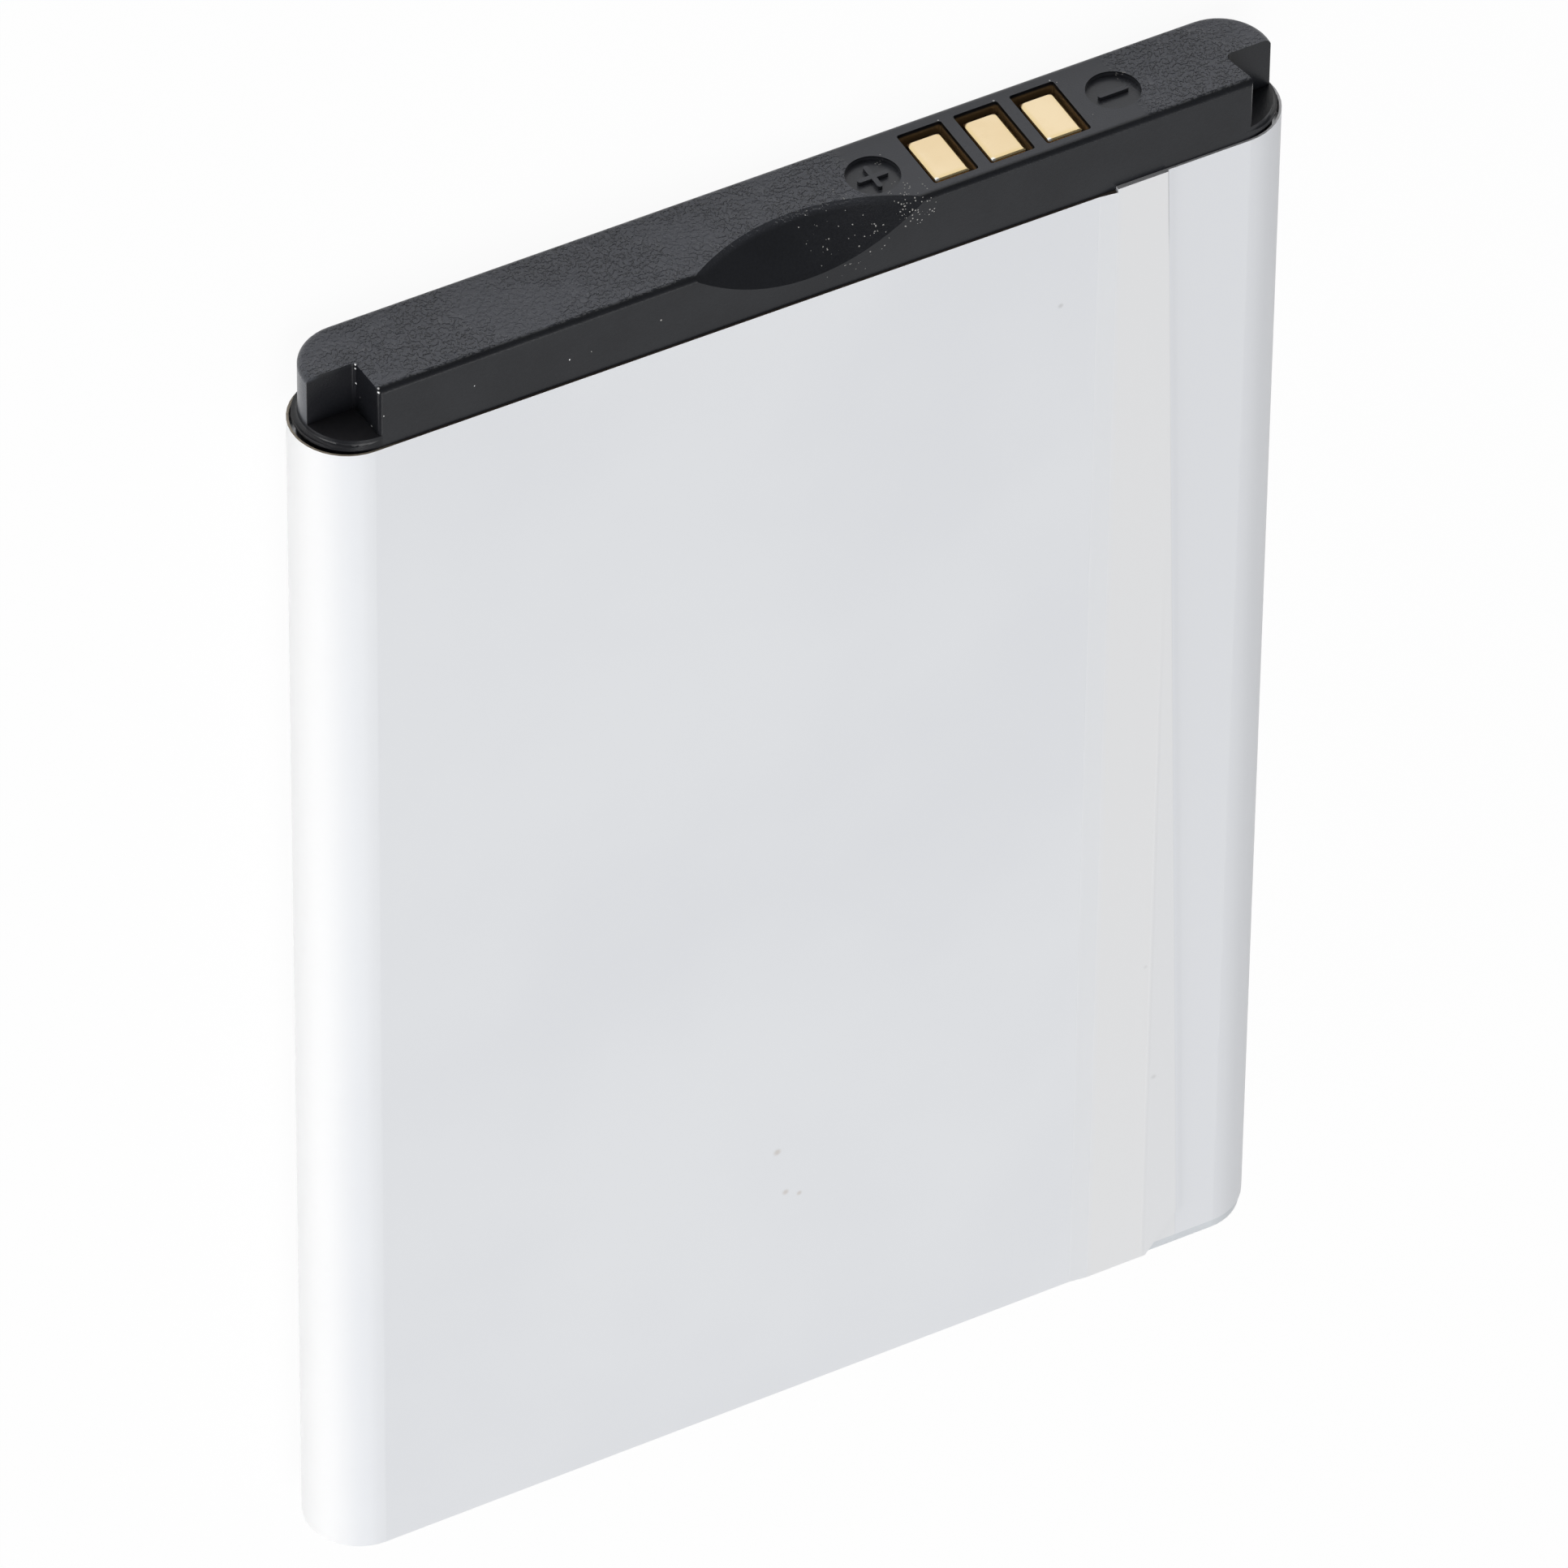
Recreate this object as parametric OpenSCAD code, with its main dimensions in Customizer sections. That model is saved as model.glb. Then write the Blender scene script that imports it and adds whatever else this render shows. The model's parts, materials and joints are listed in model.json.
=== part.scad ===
// Removable mobile phone battery: wrapped prismatic cell, protection board and moulded top cap.
// Millimetres. It lies on its back: +Z is up, the cap's end faces -Y, the origin is under its middle.
// The modules draw it standing on its base, with the front towards -Y, and the last lines lay it down.

/* [Overall] */
// Width over the label
pack_w = 44; // [40:0.5:52]
// Thickness over the label
pack_t = 4.8; // [4.6:0.1:6]
// Height from the base to the top of the cap
pack_h = 64; // [50:0.5:80]
// Height of the cap above the label
cap_h = 3; // [2.8:0.05:3.4]

/* [Label] */
// Thickness of the label film
label_t = 0.1; // [0.06:0.01:0.2]
// Height of the label's bottom edge above the base
label_base_gap = 0.1; // [0.05:0.05:0.4]
// How much higher the film's bottom edge lies at its inner end, as the film was wound a little askew
foot_step = 0.45; // [0.1:0.05:0.5]
// How much lower the film's top edge lies at its outer end
top_step = 0.17; // [0.05:0.01:0.2]
// Inner end of the film on the front, from the centre, where the overlap begins
overlap_start = 13.5; // [10:0.1:14]
// Length over which the outer film climbs onto the inner end
overlap_ramp = 0.8; // [0.4:0.1:1.5]
// Right edge of the overlap at the top
overlap_end_top = 15.8; // [15:0.1:17]
// Right edge of the overlap at the bottom, as the film was wound on a little askew
overlap_end_base = 17.8; // [17:0.1:18]
// Right edge of the overlap on its bottom edge, where its corner is cut off
overlap_foot = 16.3; // [16:0.1:17]
// Height of the cut-off corner
overlap_corner_h = 2; // [1:0.1:3]

/* [Cap outside] */
// Set-back of the cap's body from the label's outline at each end
body_end_inset = 0.43; // [0.2:0.01:0.8]
// Set-back of the cap's body from the flange at the back
body_back_inset = 0.2; // [0.1:0.05:0.6]
// Set-back of the flange's ends inside the label
flange_end_inset = 0.1; // [0.05:0.01:0.3]
// Height of the groove between the label's edge and the flange
groove_h = 0.12; // [0.1:0.01:0.3]
// Depth of that groove at the ends
groove_depth = 0.3; // [0.1:0.05:0.5]
// Height of the flange above the groove
flange_h = 0.16; // [0.1:0.01:0.3]
// Radius of the cove between the flange and the body
cove_r = 0.15; // [0.1:0.01:0.3]
// Rounding of the cap's top edge
cap_edge_r = 0.3; // [0.1:0.05:0.35]
// Length of the neck that reaches down inside the label
neck_depth = 0.6; // [0.4:0.1:1]

/* [Windows and signs] */
// Pitch of the contacts
contact_pitch = 2.54; // [2.2:0.02:3]
// Distance of the middle contact from the right end
contact_inset = 12.9; // [12.4:0.1:14]
// Width of a window
window_w = 2; // [1.6:0.05:2.1]
// Depth of a window, front to back
window_d = 3.2; // [2.6:0.1:3.2]
// Corner radius of a window
window_r = 0.12; // [0.05:0.01:0.3]
// Distance of the + disc from the middle contact
plus_offset = 5.45; // [5.2:0.05:6]
// Distance of the - disc from the middle contact
minus_offset = 5.4; // [5.2:0.05:6]
// Diameter of a sign disc
disc_d = 2.25; // [1.8:0.05:2.4]
// Depth of a sign disc
disc_depth = 0.25; // [0.1:0.05:0.4]
// Length of a bar of a sign
sign_l = 1.36; // [1:0.02:1.6]
// Width of a bar of a sign
sign_w = 0.22; // [0.15:0.01:0.35]
// Height of a sign above the bottom of its disc
sign_h = 0.18; // [0.05:0.01:0.2]

/* [Scoop] */
// Distance of the scoop's middle from the right end
scoop_inset = 22.3; // [22:0.1:24]
// Length of the scoop along the front edge
scoop_l = 10.6; // [8:0.1:12]
// Reach of the scoop into the top face
scoop_top = 1.7; // [1.2:0.05:2]
// Reach of the scoop down the front face
scoop_front = 2.1; // [1.4:0.05:2.2]
// Wall left behind the scoop
scoop_wall = 0.5; // [0.4:0.05:0.7]

/* [Key notches] */
// Length of the notches at their back, from the label's outline at the end
key_l = 2.55; // [2:0.05:3]
// How much longer the left notch is at its front
key_left_gain = 0.06; // [0:0.01:0.2]
// How much shorter the right notch is at its front
key_right_loss = 0.27; // [0:0.01:0.4]
// Depth of the notches, from the front of the cap
key_depth = 1.92; // [1.2:0.02:2.2]
// Rounding of the left notch's inner corner
key_left_r = 0.15; // [0.05:0.05:0.3]
// Rounding of the right notch's inner corner
key_right_r = 0.3; // [0.1:0.05:0.5]
// Rounding of the notches' front edge
key_front_r = 0.18; // [0.05:0.01:0.3]
// Height of the notches' floor above the label
key_floor = 0.6; // [0.4:0.05:0.8]

/* [Cap inside] */
// Front wall of the cap
front_wall = 0.5; // [0.4:0.05:0.6]
// Back wall of the cap
back_wall = 0.6; // [0.4:0.05:0.7]
// Wall between the cavity and the key notches
key_wall = 0.7; // [0.5:0.1:1]
// Roof of the cap, which the board lies against
roof_t = 1; // [0.8:0.05:1.2]
// Thickness of the stiffening ribs
rib_t = 0.5; // [0.3:0.05:0.8]
// Pitch of the stiffening ribs
rib_pitch = 3.6; // [3:0.1:4]
// Reach of the snap nibs under the board
nib_reach = 0.22; // [0.15:0.01:0.3]
// Length of a snap nib
nib_l = 1; // [0.6:0.1:1.4]
// Height of a snap nib
nib_h = 0.4; // [0.3:0.05:0.6]

/* [Cell] */
// Depth of the gap between the lid and the bottom of the cap
cap_tape_t = 0.2; // [0.1:0.05:0.3]
// Length of a cap tape pad
cap_tape_l = 2.2; // [1.6:0.1:2.4]
// Width of a cap tape pad
cap_tape_w = 3; // [2:0.1:3.4]
// Diameter of the minus rivet's shank
rivet_shank_d = 1; // [0.8:0.1:1.2]
// Length of the minus rivet's head
rivet_head_l = 2.6; // [2:0.1:3]
// Width of the minus rivet's head
rivet_head_w = 1.5; // [1.2:0.1:1.7]
// Height of the minus rivet's head
rivet_head_h = 0.3; // [0.2:0.05:0.3]
// Rim of the gasket around the rivet's head
gasket_rim = 0.35; // [0.2:0.05:0.5]
// Thickness of the gasket's plate
gasket_t = 0.2; // [0.15:0.05:0.25]
// Thickness of the gasket's sleeve
gasket_sleeve = 0.3; // [0.2:0.05:0.4]
// Depth of the terminal's seat in the lid
rivet_depth = 0.8; // [0.5:0.1:1]
// Place of the fill plug, from the centre
plug_x = -9; // [-9.3:0.1:-8.7]
// Diameter of the fill plug
plug_d = 1; // [0.7:0.1:1.2]
// Depth of the fill plug in the lid
plug_depth = 0.6; // [0.4:0.1:0.8]
// Rim of the fill plug's dome around its hole
plug_rim = 0.3; // [0.2:0.05:0.4]
// Height of the fill plug's dome
plug_dome_h = 0.18; // [0.1:0.02:0.2]
// Thickness of the lid insulator
insulator_t = 0.15; // [0.1:0.01:0.2]
// Clearance of the insulator's cut-outs and ends
insulator_gap = 0.2; // [0.1:0.05:0.3]
// Length of the clad plate
clad_l = 3; // [2.6:0.1:3.2]
// Width of the clad plate
clad_w = 2; // [1.6:0.1:2.4]
// Thickness of the clad plate
clad_t = 0.3; // [0.2:0.05:0.4]
// Offset of the clad plate from the plus weld pad
clad_offset = 1; // [0.8:0.1:1.2]

/* [Board] */
// Clearance of the board to the cap's walls
board_gap = 0.1; // [0.05:0.01:0.15]
// Thickness of the board
board_t = 0.8; // [0.6:0.05:0.8]
// Clear end of the board left of the first contact
board_lead_in = 1.4; // [1.4:0.05:1.5]
// Corner radius of the board
board_r = 0.3; // [0.1:0.1:0.5]
// Width of a contact
contact_w = 1.6; // [1.1:0.05:1.6]
// Depth of a contact, front to back
contact_d = 2.58; // [2:0.02:2.6]
// Depth of the contacts' faces below the top of the cap
contact_sink = 0.2; // [0.2:0.05:0.5]
// Rounding of a contact's top edges and front corners
contact_r = 0.15; // [0.05:0.01:0.2]
// Rounding of a contact's back corners
contact_back_r = 0.35; // [0.2:0.05:0.4]
// Thickness of the nickel strips
strip_t = 0.1; // [0.08:0.01:0.15]
// Width of the nickel strips
strip_w = 1.6; // [1.2:0.1:1.8]
// Length of a weld pad
pad_l = 1.8; // [1.4:0.1:2]
// Width of a weld pad
pad_w = 2; // [1.6:0.1:2.4]
// Thickness of a weld pad
pad_t = 0.15; // [0.1:0.05:0.2]
// Length of the thermal fuse
fuse_l = 4; // [3.6:0.1:4.2]
// Width of the thermal fuse
fuse_w = 2.6; // [2.2:0.1:2.8]
// Height of the thermal fuse
fuse_h = 0.8; // [0.7:0.05:0.85]
// Reach of the thermal fuse past the board's end
fuse_overhang = 0.4; // [0.2:0.1:0.6]
// Length of the protection chip
chip_l = 2.9; // [2.6:0.1:3]
// Length of the switch transistor
switch_l = 3; // [2.6:0.1:3]
// Width of the chips' bodies
chip_w = 1.6; // [1.4:0.1:2]
// Height of the chips' bodies
chip_h = 0.7; // [0.6:0.05:0.75]
// Reach of the chips' legs on each side
leg_reach = 0.4; // [0.3:0.05:0.5]
// Width of a chip's leg
leg_w = 0.3; // [0.2:0.05:0.4]
// Clearance between a chip and a weld pad
chip_gap = 0.2; // [0.1:0.05:0.3]
// Length of a resistor or capacitor
passive_l = 1; // [0.8:0.1:1.1]
// Width of a resistor or capacitor
passive_w = 0.5; // [0.4:0.05:0.6]
// Height of a resistor or capacitor
passive_h = 0.35; // [0.25:0.05:0.5]

/* [Base] */
// Height of the bottom cover
base_h = 0.9; // [0.7:0.05:1.2]
// Rounding of the bottom cover's edge
base_edge_r = 0.1; // [0.05:0.05:0.3]
// Thickness of the base tape
base_tape_t = 0.1; // [0.05:0.01:0.15]
// Set-back of the base tape from the can's outline
base_tape_inset = 0.4; // [0.2:0.1:0.8]
// Rounding of the can's bottom edge
can_edge_r = 0.4; // [0.2:0.05:0.6]

/* [Hidden] */
$fn = 96;
over = 1;

// Outline that the label is wrapped on
core_w = pack_w - 2 * label_t;
core_t = pack_t - 2 * label_t;
front_y = -core_t / 2;

// Heights of the cell and the cap
can_base = base_h + base_tape_t;
label_top = pack_h - cap_h;
neck_z = label_top - neck_depth;
lid_z = neck_z - cap_tape_t;
flange_z = label_top + groove_h;
flange_top = flange_z + flange_h;
roof_z = pack_h - roof_t;

// The cap's body: flush with the front, set back at the ends and the back
body_w = pack_w - 2 * body_end_inset;
body_t = core_t - body_back_inset;
body_y = front_y + body_t / 2;
neck_w = core_w - 2 * groove_depth;
flange_w = core_w - 2 * flange_end_inset;
flat_x = (pack_w - pack_t) / 2;

// Places along the cap
key_x = pack_w / 2 - key_l;
contact_x = pack_w / 2 - contact_inset;
scoop_x = pack_w / 2 - scoop_inset;

// The cavity in the cap
cavity_x = key_x - key_wall;
cavity_front = front_y + front_wall;
cavity_back = front_y + body_t - back_wall;
cavity_t = cavity_back - cavity_front;
cavity_y = (cavity_front + cavity_back) / 2;

// The scoop: a round cutter laid along the slope from the top face to the front face
scoop_edge = norm([scoop_top, scoop_front]);
scoop_sag = scoop_top * scoop_front / scoop_edge;
scoop_r = ((scoop_l / 2) ^ 2 + scoop_sag ^ 2) / (2 * scoop_sag);
scoop_tilt = atan2(scoop_front, scoop_top);

// The board hangs under the roof
board_z = roof_z - board_t;
board_x0 = contact_x - contact_pitch - contact_w / 2 - board_lead_in;
board_x1 = cavity_x - board_gap;
board_w = cavity_t - 2 * board_gap;
pad_z = board_z - pad_t;
positive_pad_x = board_x1 - pad_l / 2 - board_r;
negative_pad_x = contact_x + pad_l / 2;
chip_x = negative_pad_x - pad_l / 2 - chip_l / 2 - chip_gap;
switch_x = negative_pad_x + pad_l / 2 + switch_l / 2 + chip_gap;

// Heights of the terminals on the lid
insulator_z = lid_z + insulator_t;
gasket_l = rivet_head_l + 2 * gasket_rim;
gasket_w = rivet_head_w + 2 * gasket_rim;
rivet_z = lid_z + gasket_t;
rivet_top = rivet_z + rivet_head_h;
fuse_x = board_x0 + fuse_l / 2 - fuse_overhang;
clad_x = positive_pad_x - clad_offset;
clad_top = lid_z + clad_t;

// Lays down what was drawn standing, with the front up and the cap towards -Y
module lying() {
    translate([0, pack_h / 2, pack_t / 2]) rotate([-90, 0, 180]) children();
}

// Plan outline with half-round ends
module stadium(w, t) {
    end_x = (w - t) / 2;
    square([2 * end_x, t], center = true);
    for (side = [-1, 1]) translate([side * end_x, 0]) circle(d = t);
}

// Solid with a half-round-ended outline
module slab(w, t, z0, z1) {
    translate([0, 0, z0]) linear_extrude(z1 - z0) stadium(w, t);
}

// Slab with one rounded edge: side -1 rounds the bottom, side 1 the top
module rounded_slab(w, t, z0, z1, r, side) {
    end_x = (w - t) / 2;
    flat_z = side > 0 ? z0 : z0 + r;
    round_z = side > 0 ? z1 - r : z0 + r;
    slab(w, t, flat_z, flat_z + z1 - z0 - r);
    slab(w - 2 * r, t - 2 * r, z0, z1);
    for (end = [-1, 1]) {
        translate([end * end_x, 0, round_z]) rotate([0, 0, end * 90 - 90]) edge_turn(t / 2 - r, r);
        translate([0, end * (t / 2 - r), round_z]) rotate([0, 90, 0])
            cylinder(r = r, h = 2 * end_x, center = true);
    }
}

// Half ring of round section
module edge_turn(r_ring, r) {
    rotate([0, 0, -90]) rotate_extrude(angle = 180) translate([r_ring, 0]) circle(r = r);
}

// Rectangle with rounded corners
module rounded_rect(l, w, r) {
    square([l - 2 * r, w], center = true);
    square([l, w - 2 * r], center = true);
    for (x = [-1, 1], y = [-1, 1]) translate([x * (l / 2 - r), y * (w / 2 - r)]) circle(r);
}

module rounded_block(l, w, h, r) {
    linear_extrude(h) rounded_rect(l, w, r);
}

// Strip folded along points in the X-Z plane, round at each fold
module folded_strip(points, w, y) {
    translate([0, y + w / 2, 0]) rotate([90, 0, 0]) linear_extrude(w)
        for (i = [0:len(points) - 2]) {
            step = points[i + 1] - points[i];
            translate(points[i]) rotate(atan2(step[1], step[0])) {
                translate([0, -strip_t / 2]) square([norm(step), strip_t]);
                if (i > 0) circle(d = strip_t);
            }
        }
}

module cell_can() {
    color("silver") difference() {
        rounded_slab(core_w, core_t, can_base, lid_z, can_edge_r, -1);
        translate([0, 0, lid_z - rivet_depth])
            cylinder(d = rivet_shank_d + 2 * gasket_sleeve, h = rivet_depth + over);
        translate([plug_x, 0, lid_z - plug_depth]) cylinder(d = plug_d, h = plug_depth + over);
    }
}

module fill_plug() {
    dome_r = plug_d / 2 + plug_rim;
    ball_r = (dome_r ^ 2 + plug_dome_h ^ 2) / (2 * plug_dome_h);
    color("gainsboro") translate([plug_x, 0, lid_z]) {
        translate([0, 0, -plug_depth]) cylinder(d = plug_d, h = plug_depth);
        intersection() {
            translate([0, 0, plug_dome_h - ball_r]) sphere(ball_r);
            cylinder(r = dome_r, h = plug_dome_h);
        }
    }
}

module rivet_gasket() {
    color("dimgray") difference() {
        union() {
            translate([0, 0, lid_z]) rounded_block(gasket_l, gasket_w, gasket_t, rivet_head_w / 4);
            translate([0, 0, lid_z - rivet_depth])
                cylinder(d = rivet_shank_d + 2 * gasket_sleeve, h = rivet_depth);
        }
        translate([0, 0, lid_z - rivet_depth]) cylinder(d = rivet_shank_d, h = rivet_depth + over);
    }
}

module negative_rivet() {
    color("lightgray") {
        translate([0, 0, lid_z - rivet_depth]) cylinder(d = rivet_shank_d, h = rivet_depth + gasket_t);
        translate([0, 0, rivet_z]) rounded_block(rivet_head_l, rivet_head_w, rivet_head_h, rivet_head_w / 4);
    }
}

module lid_insulator() {
    sheet_l = 2 * (cavity_x - insulator_gap);
    color("khaki") translate([0, cavity_y, lid_z]) difference() {
        rounded_block(sheet_l, cavity_t - 2 * insulator_gap, insulator_t, board_r);
        translate([0, -cavity_y, -over / 2]) {
            rounded_block(gasket_l + 2 * insulator_gap, gasket_w + 2 * insulator_gap, over, board_r);
            translate([clad_x, cavity_y])
                rounded_block(clad_l + 2 * insulator_gap, clad_w + 2 * insulator_gap, over, board_r);
            translate([plug_x, 0]) cylinder(r = plug_d / 2 + plug_rim + insulator_gap, h = over);
        }
    }
}

module clad_plate() {
    color("silver") translate([clad_x, cavity_y, lid_z]) rounded_block(clad_l, clad_w, clad_t, board_r);
}

module positive_tab() {
    low = clad_top + strip_t / 2;
    high = pad_z - strip_t / 2;
    bend_x = positive_pad_x + pad_l / 2 + strip_t;
    color("gainsboro") folded_strip([[clad_x - clad_l / 2, low], [bend_x, low], [bend_x, high],
        [positive_pad_x - pad_l / 2, high]], strip_w, cavity_y);
}

module negative_lead() {
    low = rivet_top + strip_t / 2;
    color("gainsboro") folded_strip([[-rivet_head_l / 2, low], [fuse_x - fuse_l / 2, low]],
        rivet_head_w, cavity_y);
}

module thermal_fuse() {
    color("black") translate([fuse_x, cavity_y, insulator_z])
        rounded_block(fuse_l, fuse_w, fuse_h, board_r);
}

module board_lead() {
    low = rivet_top + strip_t / 2;
    high = pad_z - strip_t / 2;
    bend_x = negative_pad_x + pad_l / 2 + strip_t;
    color("gainsboro") folded_strip([[fuse_x + fuse_l / 2, low], [bend_x, low], [bend_x, high],
        [negative_pad_x - pad_l / 2, high]], strip_w, cavity_y);
}

module weld_pads() {
    color("gainsboro") for (x = [negative_pad_x, positive_pad_x])
        translate([x - pad_l / 2, cavity_y - pad_w / 2, pad_z]) cube([pad_l, pad_w, pad_t]);
}

module circuit_board() {
    color("darkgreen") translate([(board_x0 + board_x1) / 2, cavity_y, board_z])
        rounded_block(board_x1 - board_x0, board_w, board_t, board_r);
}

// Chip with three legs on each side, hung under the board
module legged_chip(x, l) {
    foot_h = chip_h / 4;
    translate([x, cavity_y, board_z]) {
        translate([-l / 2, -chip_w / 2, -chip_h]) cube([l, chip_w, chip_h - foot_h / 2]);
        for (i = [-1:1]) translate([i * l / 3 - leg_w / 2, -chip_w / 2 - leg_reach, -foot_h])
            cube([leg_w, chip_w + 2 * leg_reach, foot_h]);
    }
}

module protection_chip() {
    color("black") legged_chip(chip_x, chip_l);
}

module switch_transistor() {
    color("black") legged_chip(switch_x, switch_l);
}

// Small chip part lying across the board
module passive(x, y) {
    translate([x - passive_w / 2, y - passive_l / 2, board_z - passive_h])
        cube([passive_w, passive_l, passive_h]);
}

module capacitors() {
    color("peru") for (side = [-1, 1])
        passive(board_x0 + board_r + passive_w / 2, cavity_y + side * (passive_l / 2 + board_gap));
}

module resistors() {
    color("black") for (side = [-1, 1])
        passive(switch_x + switch_l / 2 + passive_w / 2 + board_gap,
            cavity_y + side * (passive_l / 2 + board_gap));
}

module thermistor() {
    color("gray") passive(switch_x + switch_l / 2 + 2 * passive_w + 2 * board_gap, cavity_y);
}

// Plated contact block with rounded edges, standing on the board
module contact(index) {
    contact_h = pack_h - contact_sink - roof_z;
    color("gold") translate([contact_x + index * contact_pitch, cavity_y, roof_z]) intersection() {
        rounded_block(contact_w, contact_d, contact_h, contact_r);
        translate([0, -contact_d / 2]) rounded_block(contact_w, 2 * contact_d, contact_h, contact_back_r);
        soft_block(contact_w, contact_d, contact_h, contact_r);
        rotate([0, 0, 90]) soft_block(contact_d, contact_w, contact_h, contact_r);
    }
}

// Block whose two long top edges are rounded
module soft_block(l, w, h, r) {
    rotate([90, 0, 0]) linear_extrude(w, center = true) {
        translate([-l / 2, 0]) square([l, h - r]);
        translate([-l / 2 + r, 0]) square([l - 2 * r, h]);
        for (side = [-1, 1]) translate([side * (l / 2 - r), h - r]) circle(r);
    }
}

module contact_positive() {
    contact(-1);
}

module contact_sense() {
    contact(0);
}

module contact_negative() {
    contact(1);
}

// Cutter along the scoop's slope, grown by a wall where wanted
module scoop_cutter(grow) {
    reach = 3 * scoop_edge;
    translate([scoop_x, front_y, pack_h]) rotate([scoop_tilt, 0, 0])
        translate([0, 0, scoop_r - scoop_sag]) rotate([90, 0, 0])
            cylinder(r = scoop_r + grow, h = 2 * reach, center = true, $fn = 2 * $fn);
}

// Concave foot round the body, where it meets the flange
module cove() {
    end_x = (body_w - body_t) / 2;
    intersection() {
        translate([0, body_y, flange_top]) difference() {
            slab(body_w + 2 * cove_r, body_t + 2 * cove_r, -cove_r / 2, cove_r);
            for (end = [-1, 1]) {
                translate([end * end_x, 0, cove_r]) rotate([0, 0, end * 90 - 90])
                    edge_turn(body_t / 2 + cove_r, cove_r);
                translate([0, end * (body_t / 2 + cove_r), cove_r]) rotate([0, 90, 0])
                    cylinder(r = cove_r, h = 2 * end_x, center = true);
            }
        }
        slab(flange_w, core_t, flange_z, pack_h);
    }
}

// Notch at the right end, or at the left when mirrored: gain is how much longer it is at the front
module key_notch(gain, inner_r) {
    back_y = front_y + key_depth;
    front_x = key_x - gain;
    translate([0, 0, label_top + key_floor]) linear_extrude(pack_h) {
        polygon([[key_x, back_y - inner_r], [front_x, front_y + key_front_r], [front_x, front_y - over],
            [pack_w, front_y - over], [pack_w, back_y], [key_x + inner_r, back_y]]);
        translate([key_x + inner_r, back_y - inner_r]) circle(inner_r);
        difference() {
            translate([front_x - key_front_r, front_y - over]) square(over + key_front_r);
            translate([front_x - key_front_r, front_y + key_front_r]) circle(key_front_r);
        }
    }
}

// Raised sign in a round recess: bars is 1 for minus, 2 for plus
module sign_disc(x, bars) {
    translate([x, cavity_y, pack_h - disc_depth]) difference() {
        cylinder(d = disc_d, h = disc_depth + over);
        for (i = [0:bars - 1]) rotate([0, 0, 90 * i]) translate([0, 0, -over])
            rounded_block(sign_l, sign_w, over + sign_h, 0.45 * sign_w);
    }
}

module cap_cavity() {
    difference() {
        translate([0, cavity_y, neck_z - over])
            rounded_block(2 * cavity_x, cavity_t, roof_z - neck_z + over, board_r / 2);
        scoop_cutter(scoop_wall);
        for (i = [1:4]) translate([scoop_x - scoop_l / 2 - rib_t - (i - 1) * rib_pitch, cavity_front - over,
            insulator_z + fuse_h]) cube([rib_t, cavity_t + 2 * over, pack_h]);
        for (x = [board_x0 + nib_l, board_x1 - nib_l], side = [-1, 1])
            translate([x - nib_l / 2, cavity_y + side * cavity_t / 2 - nib_reach,
                board_z - board_gap / 2 - nib_h]) cube([nib_l, 2 * nib_reach, nib_h]);
    }
}

module top_cap() {
    color([0.16, 0.17, 0.18]) difference() {
        union() {
            slab(neck_w, core_t, neck_z, flange_z);
            slab(flange_w, core_t, flange_z, flange_top);
            cove();
            translate([0, body_y, 0]) rounded_slab(body_w, body_t, flange_z, pack_h, cap_edge_r, 1);
        }
        cap_cavity();
        key_notch(-key_right_loss, key_right_r);
        mirror([1, 0, 0]) key_notch(key_left_gain, key_left_r);
        scoop_cutter(0);
        sign_disc(contact_x - plus_offset, 2);
        sign_disc(contact_x + minus_offset, 1);
        for (i = [-1:1]) translate([contact_x + i * contact_pitch, cavity_y, roof_z - over])
            rounded_block(window_w, window_d, roof_t + 2 * over, window_r);
    }
}

module cap_tape() {
    color("white") for (side = [-1, 1])
        translate([side * (cavity_x + cap_tape_l / 2), 0, lid_z])
            rounded_block(cap_tape_l, cap_tape_w, cap_tape_t, board_r);
}

module base_tape() {
    color("white") slab(core_w - 2 * base_tape_inset, core_t - 2 * base_tape_inset, base_h, can_base);
}

module base_cover() {
    color("white") rounded_slab(core_w, core_t, 0, base_h, base_edge_r, -1);
}

module label() {
    corner_z = label_base_gap + overlap_corner_h;
    low_top = label_top - top_step;
    color("whitesmoke") {
        difference() {
            slab(pack_w, pack_t, label_base_gap, label_top);
            slab(core_w, core_t, label_base_gap - over, label_top + over);
            askew_cuts();
        }
        intersection() {
            translate([0, label_t - pack_t / 2, 0]) rotate([90, 0, 0]) linear_extrude(2 * label_t)
                polygon([[overlap_start - overlap_ramp, label_base_gap], [overlap_foot, label_base_gap],
                    [overlap_end_base, corner_z], [overlap_end_top, low_top], [overlap_start, low_top],
                    [overlap_start - overlap_ramp, low_top]]);
            overlap_step();
        }
    }
}

// What is cut off the film's edges because it was wound askew
module askew_cuts() {
    rotate([90, 0, 0]) linear_extrude(pack_t)
        polygon([[-flat_x, label_top], [overlap_start, label_top - top_step], [overlap_start, pack_h]]);
    translate([overlap_foot, -pack_t, label_base_gap - over]) cube([pack_w, pack_t, over + foot_step]);
    translate([0, pack_t, 0]) rotate([90, 0, 0]) linear_extrude(pack_t)
        polygon([[-flat_x, label_base_gap], [flat_x, label_base_gap + foot_step],
            [pack_w, label_base_gap + foot_step], [pack_w, 0], [-flat_x, 0]]);
}

// Plan of the raised film over the inner end, with its ramp
module overlap_step() {
    face_y = -pack_t / 2;
    linear_extrude(pack_h) polygon([[overlap_start - overlap_ramp, face_y + label_t / 2],
        [overlap_start - overlap_ramp, face_y], [overlap_start, face_y - label_t],
        [pack_w, face_y - label_t], [pack_w, face_y + label_t / 2]]);
}

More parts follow.
